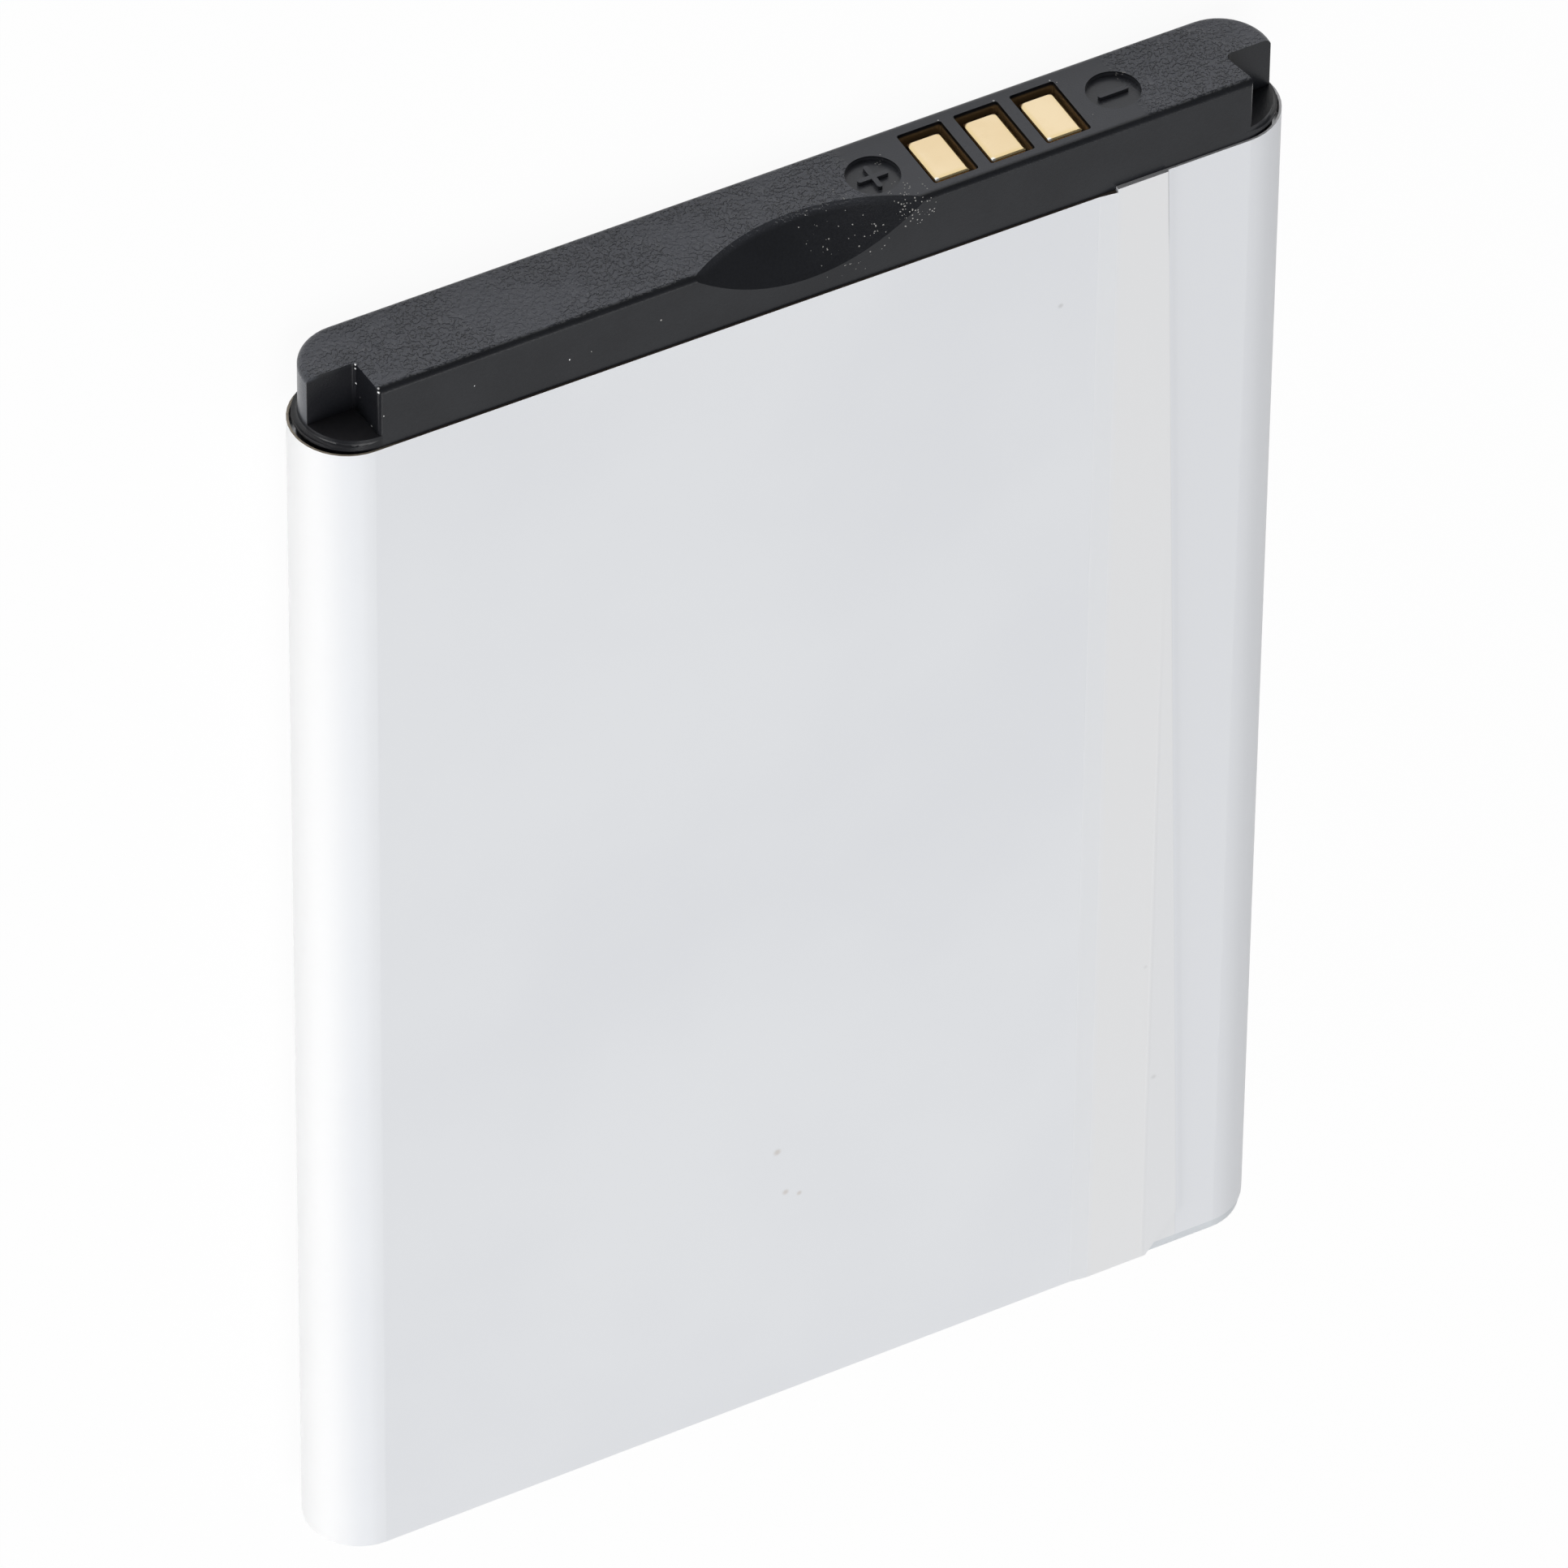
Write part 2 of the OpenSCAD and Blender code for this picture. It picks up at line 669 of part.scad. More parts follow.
lying() cell_can();
lying() fill_plug();
lying() rivet_gasket();
lying() negative_rivet();
lying() lid_insulator();
lying() clad_plate();
lying() positive_tab();
lying() negative_lead();
lying() thermal_fuse();
lying() board_lead();
lying() weld_pads();
lying() circuit_board();
lying() protection_chip();
lying() switch_transistor();
lying() capacitors();
lying() resistors();
lying() thermistor();
lying() contact_positive();
lying() contact_sense();
lying() contact_negative();
lying() top_cap();
lying() cap_tape();
lying() base_tape();
lying() base_cover();
lying() label();
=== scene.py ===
"""Removable phone battery on a pale table: white wrap label, black moulded cap, gold contacts."""

import json
import math

import bmesh
import bpy
from mathutils import Matrix, Vector


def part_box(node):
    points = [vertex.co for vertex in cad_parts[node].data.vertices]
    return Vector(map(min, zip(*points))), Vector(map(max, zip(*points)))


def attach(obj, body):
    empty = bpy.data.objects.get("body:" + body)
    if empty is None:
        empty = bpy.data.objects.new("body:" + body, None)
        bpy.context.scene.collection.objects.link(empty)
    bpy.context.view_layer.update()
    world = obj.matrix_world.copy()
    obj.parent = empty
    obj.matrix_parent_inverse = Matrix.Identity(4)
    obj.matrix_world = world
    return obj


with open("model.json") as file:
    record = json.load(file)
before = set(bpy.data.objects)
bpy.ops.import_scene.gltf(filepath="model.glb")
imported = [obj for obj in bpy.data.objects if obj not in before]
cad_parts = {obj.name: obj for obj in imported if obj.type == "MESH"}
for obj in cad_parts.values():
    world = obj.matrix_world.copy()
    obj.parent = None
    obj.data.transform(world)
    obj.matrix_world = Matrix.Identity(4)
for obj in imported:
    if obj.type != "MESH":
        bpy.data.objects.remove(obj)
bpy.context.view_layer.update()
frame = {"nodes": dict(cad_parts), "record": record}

MM = 0.001

# Size of the wrapped battery, from its solids
LABEL_LOW, LABEL_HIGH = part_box("label")
HALF_H = -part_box("top_cap")[0].y
HALF_T = (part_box("base_cover")[0].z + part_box("base_cover")[1].z) / 2
LABEL_TOP = HALF_H - LABEL_LOW.y


def standing(right, back, up):
    """The place of a point that is given in mm as if the battery stood on its base, seen from the front."""
    return Vector((-right * MM, HALF_H - up * MM, HALF_T - back * MM))


def standing_way(right, back, up):
    """A direction that is given as if the battery stood on its base."""
    return Vector((-right, -up, -back))


# The overlap's edge runs down the front a little askew
SEAM_X_TOP = 15.8 * MM
SEAM_X_BASE = 17.8 * MM
PLY_EDGE_X = 16.15 * MM
PLY_EDGE_TOP = 43 * MM
OVERLAP_START_X = 13.5 * MM
OVERLAP_TOP_STEP = 0.17 * MM
FILM_T = 0.1 * MM

# The scoop's scuffed right end
SCUFF_PLACE = standing(4.5, -1.8, 63.5)
SCUFF_REACH = 2.0 * MM
SPECK_PLACE = standing(1.6, -1.9, 63.2)
SPECK_REACH = 3.2 * MM

# The contacts, the sign discs beside them and the left notch
CONTACT_X = [6.56 * MM, 9.1 * MM, 11.64 * MM]
CONTACT_Y = -0.15 * MM
WINDOWS_REACH = 3.6 * MM
DISC_PLUS_X = 3.65
DISC_MINUS_X = 14.5
NOTCH_X = 19.4 * MM
NOTCH_BACK = -0.38 * MM

# Where the contacts' faces round off at the back, painted dark there as a painted reflection
CORNER_R = 0.42 * MM
CORNER_U = 0.8 * MM - CORNER_R
CORNER_V = 1.06 * MM - CORNER_R

# Painted glints on the cap's edges: right, back, up and size in mm
EDGE_GLINTS = (
    (-19.47, -0.47, 63.96, 0.06), (-19.47, -0.47, 63.75, 0.05), (-19.44, -0.5, 63.0, 0.055),
    (-19.32, -2.13, 63.98, 0.06), (-19.34, -2.2, 63.84, 0.07), (-19.39, -0.8, 62.5, 0.06),
    (-19.39, -0.95, 62.38, 0.05), (-19.39, -1.7, 61.7, 0.05), (-19.18, -2.3, 62.6, 0.03),
    (7.5, 1.5, 63.98, 0.05), (10.0, 1.5, 63.98, 0.06), (12.55, 1.52, 63.98, 0.05), (12.75, 1.3, 63.99, 0.03),
    (-21.6, 0.1, 63.75, 0.06), (-15.2, -2.3, 62.5, 0.03), (-11.0, -2.3, 62.1, 0.04),
)

# The cap's top is smoother round the windows and the signs
CAP_TOP = 2 * HALF_H
SMOOTH_MIDDLE_X = 9.0 * MM
SMOOTH_REACH = 5.8 * MM

# The photograph's camera
CAMERA_PLACE = standing(-249.932, -451.773, 520.871)
CAMERA_RIGHT = standing_way(0.878936, -0.476857, 0.008818)
CAMERA_UP = standing_way(0.322088, 0.607101, 0.726421)
CAMERA_BACK = standing_way(-0.351753, -0.635637, 0.687194)
CAMERA_LENS = 402.594


# Shader tree helpers

class Tree:
    """A shader tree with short calls for the nodes that the finishes use."""

    def __init__(self, tree):
        self.tree = tree

    def add(self, kind, **settings):
        node = self.tree.nodes.new(kind)
        for name, value in settings.items():
            setattr(node, name, value)
        return node

    def feed(self, socket, value):
        """Links value to the socket if it is a socket, and else sets it."""
        if isinstance(value, bpy.types.NodeSocket):
            self.tree.links.new(value, socket)
        else:
            socket.default_value = value

    def math(self, operation, a, b=0.0, clamp=False):
        node = self.add("ShaderNodeMath", operation=operation, use_clamp=clamp)
        self.feed(node.inputs[0], a)
        self.feed(node.inputs[1], b)
        return node.outputs[0]

    def ramp(self, value, low, high, out_low=0.0, out_high=1.0):
        """Smooth step from out_low at low to out_high at high."""
        node = self.add("ShaderNodeMapRange", interpolation_type="SMOOTHSTEP")
        self.feed(node.inputs["Value"], value)
        self.feed(node.inputs["From Min"], low)
        self.feed(node.inputs["From Max"], high)
        self.feed(node.inputs["To Min"], out_low)
        self.feed(node.inputs["To Max"], out_high)
        return node.outputs["Result"]

    def mix(self, mask, a, b):
        node = self.add("ShaderNodeMix", data_type="RGBA")
        self.feed(node.inputs[0], mask)
        self.feed(node.inputs[6], a)
        self.feed(node.inputs[7], b)
        return node.outputs[2]

    def noise(self, place, scale, detail=2.0, roughness=0.5):
        node = self.add("ShaderNodeTexNoise")
        self.feed(node.inputs["Vector"], place)
        self.feed(node.inputs["Scale"], scale)
        self.feed(node.inputs["Detail"], detail)
        self.feed(node.inputs["Roughness"], roughness)
        return node.outputs["Fac"]

    def place(self):
        return self.add("ShaderNodeTexCoord").outputs["Object"]

    def split(self, vector):
        node = self.add("ShaderNodeSeparateXYZ")
        self.feed(node.inputs[0], vector)
        return node.outputs

    def standing(self, place):
        """Right, back and up of the place, as if the battery stood on its base."""
        x, y, z = self.split(place)
        return self.math("MULTIPLY", x, -1.0), self.math("SUBTRACT", HALF_T, z), self.math("SUBTRACT", HALF_H, y)

    def distance(self, place, centre):
        node = self.add("ShaderNodeVectorMath", operation="DISTANCE")
        self.feed(node.inputs[0], place)
        self.feed(node.inputs[1], centre)
        return node.outputs["Value"]

    def bump(self, height, strength, distance):
        node = self.add("ShaderNodeBump")
        self.feed(node.inputs["Strength"], strength)
        self.feed(node.inputs["Distance"], distance)
        self.feed(node.inputs["Height"], height)
        return node.outputs["Normal"]

    def group(self, group, **values):
        node = self.add("ShaderNodeGroup", node_tree=group)
        for name, value in values.items():
            self.feed(node.inputs[name.replace("_", " ")], value)
        return node.outputs


def new_group(name, inputs, outputs):
    """An empty node group; inputs and outputs give each socket's name and kind, inputs its value too."""
    group = bpy.data.node_groups.new(name, "ShaderNodeTree")
    for socket, kind, value in inputs:
        made = group.interface.new_socket(socket, in_out="INPUT", socket_type="NodeSocket" + kind)
        if value is not None:
            made.default_value = value
    for socket, kind in outputs:
        group.interface.new_socket(socket, in_out="OUTPUT", socket_type="NodeSocket" + kind)
    tree = Tree(group)
    return group, tree, tree.add("NodeGroupInput").outputs, tree.add("NodeGroupOutput").inputs


def mottle_group():
    """Colour that drifts between two shades, in soft patches with a finer grain over them."""
    group, tree, given, result = new_group(
        "Mottle",
        [("Place", "Vector", None), ("Light", "Color", (1, 1, 1, 1)), ("Dark", "Color", (0.5, 0.5, 0.5, 1)),
         ("Patch Scale", "Float", 200.0), ("Grain Scale", "Float", 4000.0), ("Grain", "Float", 0.3)],
        [("Color", "Color"), ("Value", "Float")])
    patch = tree.noise(given["Place"], given["Patch Scale"], detail=3.0)
    grain = tree.noise(given["Place"], given["Grain Scale"], detail=2.0)
    centred = tree.math("SUBTRACT", grain, 0.5)
    value = tree.math("ADD", patch, tree.math("MULTIPLY", centred, given["Grain"]), clamp=True)
    tree.feed(result["Value"], value)
    tree.feed(result["Color"], tree.mix(tree.ramp(value, 0.3, 0.7), given["Dark"], given["Light"]))
    return group


def speck_group():
    """Sparse round specks of dust; Share is how many of the cells hold one."""
    group, tree, given, result = new_group(
        "Dust specks",
        [("Place", "Vector", None), ("Scale", "Float", 800.0), ("Size", "Float", 0.1), ("Share", "Float", 0.1)],
        [("Mask", "Float")])
    cells = tree.add("ShaderNodeTexVoronoi", feature="F1")
    tree.feed(cells.inputs["Vector"], given["Place"])
    tree.feed(cells.inputs["Scale"], given["Scale"])
    inside = tree.math("LESS_THAN", cells.outputs["Distance"], given["Size"])
    chance = tree.split(cells.outputs["Color"])[0]
    chosen = tree.math("LESS_THAN", chance, given["Share"])
    tree.feed(result["Mask"], tree.math("MULTIPLY", inside, chosen))
    return group


def facing_group():
    """How far the surface faces out of the cap's end, and out of the front, each from 0 to 1."""
    group, tree, given, result = new_group("Facing", [], [("End", "Float"), ("Front", "Float")])
    normal = tree.split(tree.add("ShaderNodeNewGeometry").outputs["True Normal"])
    tree.feed(result["End"], tree.ramp(normal[1], -0.5, -0.9))
    tree.feed(result["Front"], tree.ramp(normal[2], 0.4, 0.8))
    return group


MOTTLE = mottle_group()
SPECKS = speck_group()
FACING = facing_group()


def new_finish(name):
    """A material with its shader, its tree and the place on the object."""
    material = bpy.data.materials.new(name)
    material.use_nodes = True
    tree = Tree(material.node_tree)
    shader = material.node_tree.nodes["Principled BSDF"]
    return material, shader.inputs, tree, tree.place()


def plain_finish(name, light, dark, roughness, metallic=0.0, grain_scale=6000.0, bump=0.2):
    """Two shades in soft patches, a fine grain in the roughness and a little relief."""
    material, shader, tree, place = new_finish(name)
    mottle = tree.group(MOTTLE, Place=place, Light=(*light, 1), Dark=(*dark, 1), Grain_Scale=grain_scale)
    tree.feed(shader["Base Color"], mottle["Color"])
    tree.feed(shader["Roughness"], tree.ramp(mottle["Value"], 0.2, 0.8, roughness - 0.06, roughness + 0.06))
    shader["Metallic"].default_value = metallic
    relief = tree.noise(place, grain_scale, detail=3.0)
    tree.feed(shader["Normal"], tree.bump(relief, bump, 0.02 * MM))
    return material


def cap_masks(tree, place):
    """Where the cap is pitted on top, and where its painted light and shade go: a painted sheen on its end face and
    sign discs, a painted gold reflection inside the contact openings, painted shade in the left notch with painted
    light on its floor, and a painted highlight on the left end wall.
    """
    x, y, z = tree.standing(place)
    end = tree.group(FACING)["End"]
    top = tree.math("MULTIPLY", end, tree.ramp(z, CAP_TOP - 0.32 * MM, CAP_TOP - 0.05 * MM))
    top = tree.math("MULTIPLY", top, tree.ramp(y, -2.14 * MM, -1.98 * MM))
    from_contacts = tree.math("ABSOLUTE", tree.math("SUBTRACT", x, SMOOTH_MIDDLE_X))
    rough_area = tree.ramp(from_contacts, SMOOTH_REACH, SMOOTH_REACH + 0.8 * MM)
    patchy = tree.ramp(tree.noise(place, 450.0, detail=2.0), 0.38, 0.56, 0.25, 1.0)
    pitted = tree.math("MULTIPLY", tree.math("MULTIPLY", top, rough_area), patchy)

    # Painted reflection: the walls inside the contact openings get a warm brown colour for the gold's light on
    # them, strongest deep down.
    from_middle = tree.math("ABSOLUTE", tree.math("SUBTRACT", x, CONTACT_X[1]))
    window_gold_reflection = tree.math("MULTIPLY", tree.ramp(from_middle, WINDOWS_REACH, WINDOWS_REACH - 0.05 * MM),
                       tree.math("SUBTRACT", 1.0, end))
    from_cavity = tree.math("ABSOLUTE", tree.math("SUBTRACT", y, CONTACT_Y))
    window_gold_reflection = tree.math("MULTIPLY", window_gold_reflection, tree.ramp(from_cavity, 1.75 * MM, 1.7 * MM))
    window_gold_reflection = tree.math("MULTIPLY", window_gold_reflection, tree.ramp(z, CAP_TOP - 0.12 * MM, CAP_TOP - 0.3 * MM))

    # Painted shade: the left notch gets a near-black colour and less sheen, and its floor a paler grey as painted
    # light.
    notch = tree.math("MULTIPLY", tree.ramp(x, -NOTCH_X + 0.25 * MM, -NOTCH_X + 0.05 * MM),
                      tree.ramp(y, NOTCH_BACK + 0.06 * MM, NOTCH_BACK + 0.02 * MM))
    notch = tree.math("MULTIPLY", notch, tree.ramp(z, CAP_TOP - 0.05 * MM, CAP_TOP - 0.25 * MM))

    # Painted sheen: the sign discs' recesses get a paler grey.
    disc_sheen = 0.0
    from_cavity = tree.math("SUBTRACT", y, CONTACT_Y)
    for disc_x in (DISC_MINUS_X, DISC_PLUS_X):
        from_disc = tree.math("SUBTRACT", x, disc_x * MM)
        away = tree.math("ADD", tree.math("MULTIPLY", from_disc, from_disc),
                         tree.math("MULTIPLY", from_cavity, from_cavity))
        disc_sheen = tree.math("MAXIMUM", disc_sheen, tree.ramp(tree.math("SQRT", away), 1.2 * MM, 1.14 * MM))
    disc_sheen = tree.math("MULTIPLY", disc_sheen, tree.ramp(z, CAP_TOP - 0.04 * MM, CAP_TOP - 0.1 * MM))
    # Painted highlight: a paler bluish band on the cap's left end wall, below the end face and outside the notch.
    left_end_highlight = tree.math("MULTIPLY", tree.ramp(x, -20.9 * MM, -21.5 * MM), tree.ramp(z, 61.5 * MM, 61.8 * MM))
    left_end_highlight = tree.math("MULTIPLY", left_end_highlight, tree.math("SUBTRACT", tree.math("SUBTRACT", 1.0, notch), top, clamp=True))
    # Painted sheen: the end face is painted paler, fully where it is pitted and at 0.6 strength round the contacts.
    painted_top_sheen = tree.math("MULTIPLY", top, tree.ramp(rough_area, 0.0, 1.0, 0.6, 1.0))
    return pitted, painted_top_sheen, window_gold_reflection, notch, tree.math("MULTIPLY", notch, end), disc_sheen, left_end_highlight


def cap_wear(tree, place):
    """Pale dust specks all over, and chips in the scoop's scuffed end and the sign discs' right edges."""
    dust = tree.group(SPECKS, Place=place, Scale=1300.0, Size=0.05, Share=0.05)["Mask"]
    chips = tree.group(SPECKS, Place=place, Scale=9500.0, Size=0.3, Share=0.5)["Mask"]
    scuffed = tree.ramp(tree.distance(place, SCUFF_PLACE), SCUFF_REACH, 0.25 * SCUFF_REACH, 0.0, 0.5)
    near = tree.distance(place, SPECK_PLACE)
    scuffed = tree.math("MAXIMUM", scuffed, tree.ramp(near, SPECK_REACH, 0.5 * SPECK_REACH, 0.0, 0.36))
    for disc_x in (DISC_MINUS_X, DISC_PLUS_X):
        edge = standing(disc_x + 0.75, 0.6, 63.9)
        scuffed = tree.math("MAXIMUM", scuffed, tree.ramp(tree.distance(place, edge), 0.6 * MM, 0.1 * MM, 0.0, 0.5))
    patch = tree.math("GREATER_THAN", tree.noise(place, 3000.0, detail=2.0), tree.math("SUBTRACT", 0.95, scuffed))
    pale = tree.math("MAXIMUM", tree.math("MULTIPLY", chips, patch), dust)
    return tree.math("MULTIPLY", pale, 0.85)


def cap_glints(tree, place):
    """Single painted glints on the cap's edges."""
    glinted = 0.0
    for right, back, up, size in EDGE_GLINTS:
        near = tree.distance(place, standing(right, back, up))
        glinted = tree.math("MAXIMUM", glinted, tree.ramp(near, size * MM, 0.5 * size * MM))
    return glinted


def cap_plastic():
    """Black moulding: pitted on top, satin on its sides, scuffs and dust; painted sheen on the end face and sign
    discs, a painted gold reflection in the windows, painted shade in the left notch, a painted highlight on the
    left end wall and painted glints at its edges.
    """
    material, shader, tree, place = new_finish("cap_plastic")
    pitted, painted_top_sheen, window_gold_reflection, notch, lit_notch_floor, disc_sheen, left_end_highlight = cap_masks(tree, place)
    mottle = tree.group(MOTTLE, Place=place, Light=(0.0112, 0.0125, 0.016, 1), Dark=(0.0085, 0.0095, 0.0125, 1),
                        Patch_Scale=300.0, Grain_Scale=9000.0, Grain=0.6)
    # Painted light and shade over the black moulding: sheen on the end face and sign discs, gold reflection in the
    # windows, shade in the notch with a lit floor, and a highlight on the left end wall.
    color = tree.mix(tree.math("MULTIPLY", painted_top_sheen, 0.95), mottle["Color"], (0.094, 0.1, 0.12, 1))
    color = tree.mix(disc_sheen, color, (0.05, 0.053, 0.062, 1))
    color = tree.mix(window_gold_reflection, color, (0.36, 0.22, 0.1, 1))
    color = tree.mix(notch, color, (0.009, 0.0095, 0.012, 1))
    color = tree.mix(lit_notch_floor, color, (0.03, 0.03, 0.034, 1))
    color = tree.mix(left_end_highlight, color, (0.05, 0.055, 0.068, 1))
    color = tree.mix(cap_wear(tree, place), color, (0.45, 0.44, 0.42, 1))
    # Painted glints: near-white spots on the cap's edges.
    tree.feed(shader["Base Color"], tree.mix(cap_glints(tree, place), color, (0.95, 0.95, 0.95, 1)))
    rough = tree.ramp(mottle["Value"], 0.2, 0.8, 0.27, 0.35)
    tree.feed(shader["Roughness"], tree.math("ADD", rough, tree.math("MULTIPLY", painted_top_sheen, 0.06)))
    tree.feed(shader["Specular IOR Level"], tree.ramp(notch, 0.0, 1.0, 0.44, 0.3))
    pits = tree.noise(place, 5400.0, detail=2.0, roughness=0.55)
    worms = tree.ramp(pits, 0.45, 0.57)
    fine = tree.noise(place, 14000.0, detail=1.0)
    height = tree.math("ADD", tree.math("MULTIPLY", worms, pitted), tree.math("MULTIPLY", fine, 0.04))
    tree.feed(shader["Normal"], tree.bump(height, 1.0, 0.11 * MM))
    return material


def label_film():
    """Glossy white film: cream cut edge at the left end, warm overlap, its ply's edge showing through, small marks;
    painted shade right of the overlap's edge and just before the overlap, and painted shadows along the overlap's
    edge and in the gap under the cap.
    """
    material, shader, tree, place = new_finish("label_film")
    facing = tree.group(FACING)
    x, y, z = tree.standing(place)
    mottle = tree.group(MOTTLE, Place=place, Light=(0.785, 0.8, 0.825, 1), Dark=(0.755, 0.77, 0.8, 1),
                        Patch_Scale=60.0, Grain_Scale=5000.0, Grain=0.05)
    slope = (SEAM_X_BASE - SEAM_X_TOP) / LABEL_TOP
    seam_x = tree.math("MULTIPLY_ADD", z, -slope)
    seam_x.node.inputs[2].default_value = SEAM_X_BASE
    past_seam = tree.math("GREATER_THAN", tree.math("SUBTRACT", x, seam_x), 0.0)
    # Painted shade: the film right of the overlap's edge is coloured a darker bluish grey.
    under_ply_shade = tree.math("MULTIPLY", past_seam, facing["Front"])
    color = tree.mix(under_ply_shade, mottle["Color"], (0.755, 0.77, 0.8, 1))
    warm = tree.math("MULTIPLY", tree.ramp(x, OVERLAP_START_X - 0.3 * MM, OVERLAP_START_X + 0.3 * MM),
                     facing["Front"])
    warm = tree.math("MULTIPLY", warm, tree.math("SUBTRACT", 1.0, past_seam))
    color = tree.mix(warm, color, (0.785, 0.79, 0.8, 1))
    # Painted shadow: a dark line along the overlap's edge, stronger towards the top.
    near_seam = tree.math("ABSOLUTE", tree.math("SUBTRACT", x, seam_x))
    seam_shadow = tree.math("MULTIPLY", tree.ramp(near_seam, 0.07 * MM, 0.02 * MM),
                     tree.ramp(z, LABEL_TOP - 5 * MM, LABEL_TOP - 2 * MM, 0.08, 0.5))
    seam_shadow = tree.math("MULTIPLY", seam_shadow, facing["Front"])
    color = tree.mix(seam_shadow, color, (0.3, 0.3, 0.32, 1))
    ply = tree.ramp(tree.math("ABSOLUTE", tree.math("SUBTRACT", x, PLY_EDGE_X)), 0.12 * MM, 0.0)
    ply = tree.math("MULTIPLY", ply, tree.ramp(z, PLY_EDGE_TOP, PLY_EDGE_TOP - 15 * MM))
    ply = tree.math("MULTIPLY", ply, facing["Front"])
    color = tree.mix(tree.math("MULTIPLY", ply, 0.06), color, (0.5, 0.5, 0.52, 1))
    shade = tree.math("MULTIPLY", tree.ramp(x, PLY_EDGE_X - 0.1 * MM, PLY_EDGE_X + 0.1 * MM),
                      tree.ramp(z, PLY_EDGE_TOP, PLY_EDGE_TOP - 25 * MM, 0.0, 0.8))
    shade = tree.math("MULTIPLY", shade, tree.math("SUBTRACT", facing["Front"], under_ply_shade))
    color = tree.mix(shade, color, (0.757, 0.767, 0.785, 1))
    lit_side = tree.ramp(x, -20.4 * MM, -21.9 * MM, 0.0, 0.9)
    color = tree.mix(lit_side, color, (0.9, 0.9, 0.9, 1))
    # Painted shade: a darker band on the film's rise just before the overlap starts.
    ramp_shade = tree.math("MULTIPLY", tree.ramp(x, OVERLAP_START_X - 0.84 * MM, OVERLAP_START_X - 0.74 * MM),
                          tree.ramp(x, OVERLAP_START_X + 0.02 * MM, OVERLAP_START_X - 0.05 * MM))
    ramp_shade = tree.math("MULTIPLY", ramp_shade, facing["Front"])
    color = tree.mix(ramp_shade, color, (0.72, 0.733, 0.755, 1))
    # The film's top edge: cream at the left end and dark brown elsewhere, the dark brown being a painted shadow in
    # the gap under the cap; white where the overlap starts.
    edge = tree.math("MULTIPLY", facing["End"], tree.ramp(z, LABEL_TOP - 1 * MM, LABEL_TOP - 0.5 * MM))
    cut = tree.mix(tree.ramp(x, -20 * MM, -18 * MM), (0.55, 0.48, 0.38, 1), (0.14, 0.11, 0.09, 1))
    cut = tree.mix(tree.ramp(x, OVERLAP_START_X - 0.05 * MM, OVERLAP_START_X), cut, (0.95, 0.95, 0.97, 1))
    color = tree.mix(edge, color, cut)
    for mark_x, mark_z, size, shade in (
            (-1.36, 14.24, 0.07, (0.42, 0.34, 0.26)), (-0.95, 11.75, 0.06, (0.45, 0.37, 0.3)),
            (-0.3, 11.4, 0.05, (0.45, 0.37, 0.3)), (11.05, 55.76, 0.05, (0.4, 0.4, 0.4)),
            (15.88, 17.11, 0.05, (0.4, 0.4, 0.4)), (16.44, 10.51, 0.06, (0.35, 0.35, 0.35))):
        spot = standing(mark_x, -2.4, mark_z)
        reach = tree.ramp(tree.distance(place, spot), size * 3.5 * MM, size * 0.5 * MM, 0.0, 0.4)
        color = tree.mix(reach, color, (*shade, 1))
    tree.feed(shader["Base Color"], color)
    tree.feed(shader["Roughness"], tree.ramp(mottle["Value"], 0.2, 0.8, 0.42, 0.5))
    ripple = tree.noise(place, 90.0, detail=1.0)
    height = tree.math("ADD", ripple, tree.math("MULTIPLY", ply, 0.4))
    tree.feed(shader["Normal"], tree.bump(height, 0.12, 0.1 * MM))
    return material


def gold_masks(tree, place):
    """Painted light on the contacts: a dark painted reflection where a face rounds off at its back corners, a
    yellower painted reflection along its edges, and a painted glint at its front corner.
    """
    x, y, z = tree.standing(place)
    from_middle = tree.math("ABSOLUTE", tree.math("SUBTRACT", x, CONTACT_X[1]))
    beyond = tree.math("ABSOLUTE", tree.math("SUBTRACT", from_middle, CONTACT_X[1] - CONTACT_X[0]))
    across = tree.math("MINIMUM", from_middle, beyond)
    u = tree.math("MAXIMUM", tree.math("SUBTRACT", across, CORNER_U), 0.0)
    v = tree.math("MAXIMUM", tree.math("SUBTRACT", y, CORNER_V), 0.0)
    away = tree.math("SQRT", tree.math("ADD", tree.math("MULTIPLY", u, u), tree.math("MULTIPLY", v, v)))
    corner = tree.ramp(away, CORNER_R - 0.06 * MM, CORNER_R + 0.03 * MM)
    rim_reflection = tree.math("MAXIMUM", tree.ramp(across, 0.5 * MM, 0.8 * MM), tree.ramp(y, -1.05 * MM, -1.4 * MM))
    glint = 0.0
    for contact_x in CONTACT_X:
        near = tree.distance(place, standing(contact_x / MM - 0.7, -1.36, 63.78))
        glint = tree.math("MAXIMUM", glint, tree.ramp(near, 0.16 * MM, 0.06 * MM))
    return corner, rim_reflection, glint


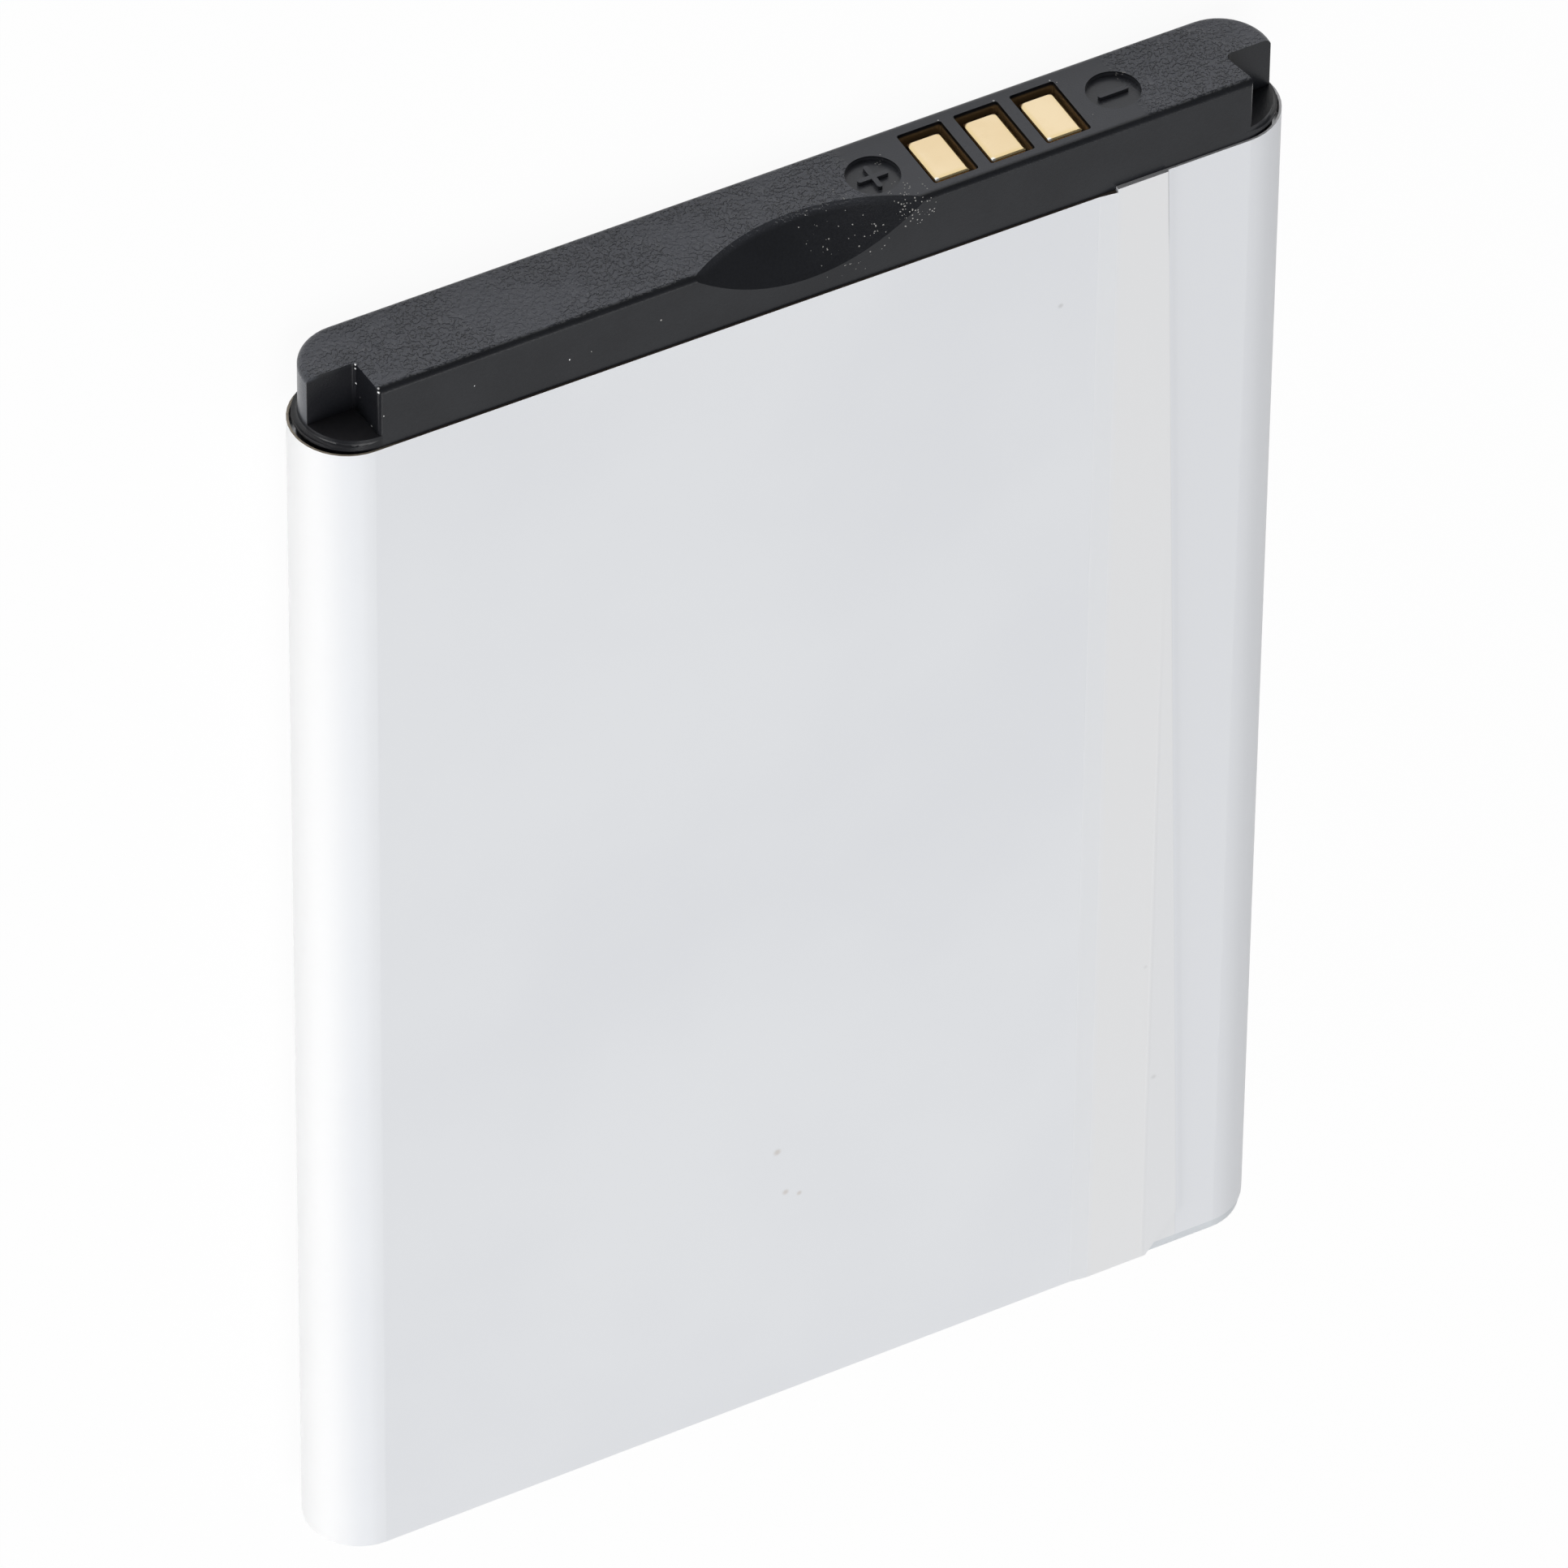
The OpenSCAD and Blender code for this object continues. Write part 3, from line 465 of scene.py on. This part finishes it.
def gold_plate():
    """Polished gold plating with faint wear lines from the phone's spring pins, and painted reflections at its back
    corners and edges and a painted glint at its front corner.
    """
    material, shader, tree, place = new_finish("gold_plate")
    corner, rim_reflection, glint = gold_masks(tree, place)
    mottle = tree.group(MOTTLE, Place=place, Light=(0.93, 0.76, 0.5, 1), Dark=(0.87, 0.69, 0.43, 1),
                        Patch_Scale=400.0, Grain_Scale=9000.0, Grain=0.1)
    # Painted reflection: a yellower, darker gold along each face's left and front edges, and a painted glint at its
    # front corner.
    color = tree.mix(tree.math("MULTIPLY", rim_reflection, 0.55), mottle["Color"], (0.8, 0.62, 0.27, 1))
    color = tree.mix(glint, color, (1, 1, 0.95, 1))
    # Painted reflection: the back corners of each face are painted dark brown.
    tree.feed(shader["Base Color"], tree.mix(corner, color, (0.05, 0.025, 0.01, 1)))
    shader["Metallic"].default_value = 1.0
    tree.feed(shader["Roughness"], tree.ramp(mottle["Value"], 0.2, 0.8, 0.14, 0.2))
    lines = tree.add("ShaderNodeMapping")
    tree.feed(lines.inputs["Vector"], place)
    lines.inputs["Scale"].default_value = (9000, 500, 500)
    wear = tree.noise(lines.outputs["Vector"], 1.0, detail=2.0)
    tree.feed(shader["Normal"], tree.bump(wear, 0.05, 0.01 * MM))
    return material


def finishes():
    """Every material slot of the record, with its material."""
    return {
        "cap_plastic": cap_plastic(),
        "label_film": label_film(),
        "gold_plate": gold_plate(),
        # Painted shade: the base cover is coloured darker than the label.
        "base_plastic": plain_finish("base_plastic", (0.66, 0.69, 0.72), (0.61, 0.635, 0.665), 0.35),
        "can_aluminium": plain_finish("can_aluminium", (0.8, 0.81, 0.82), (0.7, 0.71, 0.72), 0.3, metallic=1.0),
        "gasket_plastic": plain_finish("gasket_plastic", (0.09, 0.09, 0.095), (0.06, 0.06, 0.065), 0.5),
        "nickel": plain_finish("nickel", (0.72, 0.7, 0.66), (0.62, 0.6, 0.56), 0.3, metallic=1.0),
        "insulator_sheet": plain_finish("insulator_sheet", (0.7, 0.65, 0.46), (0.6, 0.55, 0.38), 0.7),
        "chip_black": plain_finish("chip_black", (0.04, 0.04, 0.042), (0.025, 0.025, 0.027), 0.55),
        "board_green": plain_finish("board_green", (0.02, 0.09, 0.045), (0.012, 0.06, 0.03), 0.3),
        "chip_brown": plain_finish("chip_brown", (0.36, 0.24, 0.14), (0.28, 0.18, 0.1), 0.5),
        "adhesive": plain_finish("adhesive", (0.8, 0.79, 0.75), (0.7, 0.69, 0.65), 0.6),
    }


def overlap_top(film):
    """The overlap's top corner, whose film reaches up to the label's own top edge."""
    mesh = bpy.data.meshes.new("overlap_top")
    shape = bmesh.new()
    middle = standing((OVERLAP_START_X + SEAM_X_TOP) / 2 / MM, 0, 0)
    size = Vector((SEAM_X_TOP - OVERLAP_START_X, OVERLAP_TOP_STEP, FILM_T))
    place = Vector((middle.x, LABEL_LOW.y + OVERLAP_TOP_STEP / 2, LABEL_HIGH.z - FILM_T / 2))
    bmesh.ops.create_cube(shape, size=1.0, matrix=Matrix.Translation(place) @ Matrix.Diagonal((*size, 1)))
    shape.to_mesh(mesh)
    shape.free()
    mesh.materials.append(film)
    piece = bpy.data.objects.new("overlap_top", mesh)
    bpy.context.scene.collection.objects.link(piece)
    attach(piece, "root")


def paint_nodes():
    """Gives every solid the material of its slot."""
    made = finishes()
    overlap_top(made["label_film"])
    for part in frame["record"]["subparts"]:
        mesh = frame["nodes"][part["node"]].data
        mesh.materials.clear()
        mesh.materials.append(made[part["material_slot"]])


def table_and_sky():
    """Pale table that shows as the photograph's white ground and keeps the battery's shadow."""
    mesh = bpy.data.meshes.new("table")
    shape = bmesh.new()
    bmesh.ops.create_grid(shape, x_segments=1, y_segments=1, size=3.0)
    shape.to_mesh(mesh)
    shape.free()
    table = bpy.data.objects.new("table", mesh)
    bpy.context.scene.collection.objects.link(table)
    material = bpy.data.materials.new("table_white")
    material.use_nodes = True
    tree = Tree(material.node_tree)
    shader = material.node_tree.nodes["Principled BSDF"]
    shader.inputs["Base Color"].default_value = (0.85, 0.85, 0.85, 1)
    shader.inputs["Roughness"].default_value = 0.8
    white = tree.add("ShaderNodeEmission")
    white.inputs["Strength"].default_value = 1.0
    blend = tree.add("ShaderNodeMixShader")
    rays = tree.add("ShaderNodeLightPath").outputs
    seen = tree.math("MAXIMUM", rays["Is Camera Ray"], rays["Is Glossy Ray"])
    seen = tree.math("MAXIMUM", seen, rays["Is Transmission Ray"])
    tree.feed(blend.inputs[0], tree.math("MULTIPLY", seen, 0.95))
    tree.feed(blend.inputs[1], shader.outputs[0])
    tree.feed(blend.inputs[2], white.outputs[0])
    tree.feed(material.node_tree.nodes["Material Output"].inputs["Surface"], blend.outputs[0])
    mesh.materials.append(material)

    world = bpy.data.worlds.new("studio")
    bpy.context.scene.world = world
    world.use_nodes = True
    tree = Tree(world.node_tree)
    rays = tree.add("ShaderNodeLightPath").outputs
    seen = tree.math("MAXIMUM", rays["Is Camera Ray"], rays["Is Transmission Ray"])
    background = world.node_tree.nodes["Background"]
    background.inputs["Color"].default_value = (1, 1, 1, 1)
    tree.feed(background.inputs["Strength"], tree.ramp(seen, 0.0, 1.0, 0.16, 1.0))


def softbox(name, place, size, power, target=Vector((0, 0, 0))):
    """A square soft light that faces the battery."""
    light = bpy.data.lights.new(name, "AREA")
    light.size = size
    light.energy = power
    lamp = bpy.data.objects.new(name, light)
    lamp.location = place
    lamp.rotation_euler = (target - place).to_track_quat("-Z", "Y").to_euler()
    bpy.context.scene.collection.objects.link(lamp)


def lights():
    softbox("top_softbox", Vector((0.2, 0.2, 1.1)), 0.9, 10.2)
    softbox("back_softbox", Vector((-0.5, 1.0, 0.92)), 1.4, 2.6)
    softbox("side_softbox", Vector((1.0, 0.25, 0.12)), 0.5, 5.7)


def camera():
    """Puts the camera where the photograph was taken from."""
    lens = bpy.data.cameras.new("photo_camera")
    lens.lens = CAMERA_LENS
    lens.sensor_width = 36
    lens.clip_start, lens.clip_end = 0.01, 10
    eye = bpy.data.objects.new("photo_camera", lens)
    axes = Matrix((CAMERA_RIGHT, CAMERA_UP, CAMERA_BACK)).transposed()
    eye.matrix_world = Matrix.Translation(CAMERA_PLACE) @ axes.to_4x4()
    bpy.context.scene.collection.objects.link(eye)
    bpy.context.scene.camera = eye


paint_nodes()
table_and_sky()
lights()
camera()
bpy.context.scene.view_settings.view_transform = "Standard"
